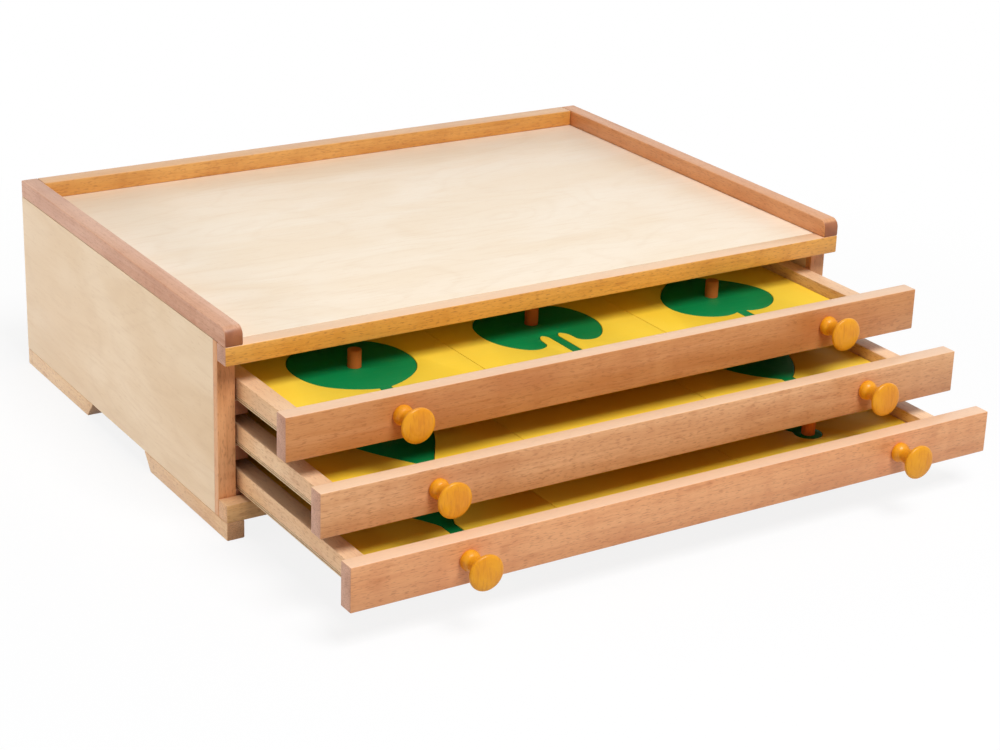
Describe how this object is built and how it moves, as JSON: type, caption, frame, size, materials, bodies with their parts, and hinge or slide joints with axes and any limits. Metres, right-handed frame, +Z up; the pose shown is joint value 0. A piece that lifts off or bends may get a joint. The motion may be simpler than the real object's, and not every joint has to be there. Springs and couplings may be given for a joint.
{
  "type": "botanical specimen cabinet",
  "caption": "Low beech and birch-ply school cabinet with shallow knobbed drawers, holding square leaf frames with lift-out leaf insets.",
  "frame": {"origin": "middle of the box round the whole cabinet with its drawers pulled out as at rest, on the table", "axes": "+X to the right as seen from the front, +Y to the back, +Z up"},
  "size_m": [0.476, 0.517, 0.14],
  "materials": {
    "beech": "satin lacquer",
    "birch_ply": "satin lacquer",
    "knob_varnish": "gloss varnish",
    "frame_paint": "yellow paint",
    "leaf_paint": "green paint",
    "peg_paint": "terracotta paint",
    "steel": "bright zinc"
  },
  "bodies": {
    "carcass": {"back_panel": "birch_ply", "back_panel_pins": "steel", "foot_front_left": "beech", "foot_front_right": "beech", "foot_rear_left": "beech", "foot_rear_right": "beech", "front_rail": "beech", "gallery_rail": "beech", "rear_rail": "beech", "runner_screws": "steel", "runners_bottom": "beech", "runners_middle": "beech", "runners_top": "beech", "side_panel_left": "birch_ply", "side_panel_right": "birch_ply", "stile_left": "beech", "stile_right": "beech", "top_lipping": "beech", "top_panel": "birch_ply", "top_rail_left": "beech", "top_rail_right": "beech"},
    "drawer_top": {"top_drawer_back": "beech", "top_drawer_bottom": "birch_ply", "top_drawer_front": "beech", "top_drawer_side_left": "beech", "top_drawer_side_right": "beech", "top_knob_screws": "steel", "top_knobs": "knob_varnish", "top_leaf_frames": "frame_paint"},
    "inset_orbiculate": {"leaf_orbiculate": "leaf_paint"},
    "inset_reniform": {"leaf_reniform": "leaf_paint"},
    "inset_ovate": {"leaf_ovate": "leaf_paint"},
    "inset_cordate": {"leaf_cordate": "leaf_paint"},
    "inset_deltoid": {"leaf_deltoid": "leaf_paint"},
    "inset_hastate": {"leaf_hastate": "leaf_paint"},
    "drawer_middle": {"middle_drawer_back": "beech", "middle_drawer_bottom": "birch_ply", "middle_drawer_front": "beech", "middle_drawer_side_left": "beech", "middle_drawer_side_right": "beech", "middle_knob_screws": "steel", "middle_knobs": "knob_varnish", "middle_leaf_frames": "frame_paint"},
    "inset_elliptic": {"leaf_elliptic": "leaf_paint"},
    "inset_obovate": {"leaf_obovate": "leaf_paint"},
    "inset_obcordate": {"leaf_obcordate": "leaf_paint"},
    "inset_sagittate": {"leaf_sagittate": "leaf_paint"},
    "drawer_bottom": {"bottom_drawer_back": "beech", "bottom_drawer_bottom": "birch_ply", "bottom_drawer_front": "beech", "bottom_drawer_side_left": "beech", "bottom_drawer_side_right": "beech", "bottom_knob_screws": "steel", "bottom_knobs": "knob_varnish", "bottom_leaf_frames": "frame_paint"},
    "inset_spatulate": {"leaf_spatulate": "leaf_paint"},
    "inset_lanceolate": {"leaf_lanceolate": "leaf_paint"},
    "inset_linear": {"leaf_linear": "leaf_paint"},
    "inset_acicular": {"leaf_acicular": "leaf_paint"}
  },
  "joints": [
    {"name": "top_drawer_slide", "type": "slide", "parent": "carcass", "child": "drawer_top", "axis": [0, -1, 0], "range_m": [-0.082, 0.158]},
    {"name": "orbiculate_lift", "type": "slide", "parent": "drawer_top", "child": "inset_orbiculate", "axis": [0, 0, 1], "range_m": [0, 0.008]},
    {"name": "reniform_lift", "type": "slide", "parent": "drawer_top", "child": "inset_reniform", "axis": [0, 0, 1], "range_m": [0, 0.008]},
    {"name": "ovate_lift", "type": "slide", "parent": "drawer_top", "child": "inset_ovate", "axis": [0, 0, 1], "range_m": [0, 0.008]},
    {"name": "cordate_lift", "type": "slide", "parent": "drawer_top", "child": "inset_cordate", "axis": [0, 0, 1], "range_m": [0, 0.008]},
    {"name": "deltoid_lift", "type": "slide", "parent": "drawer_top", "child": "inset_deltoid", "axis": [0, 0, 1], "range_m": [0, 0.008]},
    {"name": "hastate_lift", "type": "slide", "parent": "drawer_top", "child": "inset_hastate", "axis": [0, 0, 1], "range_m": [0, 0.008]},
    {"name": "middle_drawer_slide", "type": "slide", "parent": "carcass", "child": "drawer_middle", "axis": [0, -1, 0], "range_m": [-0.125, 0.115]},
    {"name": "elliptic_lift", "type": "slide", "parent": "drawer_middle", "child": "inset_elliptic", "axis": [0, 0, 1], "range_m": [0, 0.008]},
    {"name": "obovate_lift", "type": "slide", "parent": "drawer_middle", "child": "inset_obovate", "axis": [0, 0, 1], "range_m": [0, 0.008]},
    {"name": "obcordate_lift", "type": "slide", "parent": "drawer_middle", "child": "inset_obcordate", "axis": [0, 0, 1], "range_m": [0, 0.008]},
    {"name": "sagittate_lift", "type": "slide", "parent": "drawer_middle", "child": "inset_sagittate", "axis": [0, 0, 1], "range_m": [0, 0.008]},
    {"name": "bottom_drawer_slide", "type": "slide", "parent": "carcass", "child": "drawer_bottom", "axis": [0, -1, 0], "range_m": [-0.161, 0.079]},
    {"name": "spatulate_lift", "type": "slide", "parent": "drawer_bottom", "child": "inset_spatulate", "axis": [0, 0, 1], "range_m": [0, 0.008]},
    {"name": "lanceolate_lift", "type": "slide", "parent": "drawer_bottom", "child": "inset_lanceolate", "axis": [0, 0, 1], "range_m": [0, 0.008]},
    {"name": "linear_lift", "type": "slide", "parent": "drawer_bottom", "child": "inset_linear", "axis": [0, 0, 1], "range_m": [0, 0.008]},
    {"name": "acicular_lift", "type": "slide", "parent": "drawer_bottom", "child": "inset_acicular", "axis": [0, 0, 1], "range_m": [0, 0.008]}
  ]
}
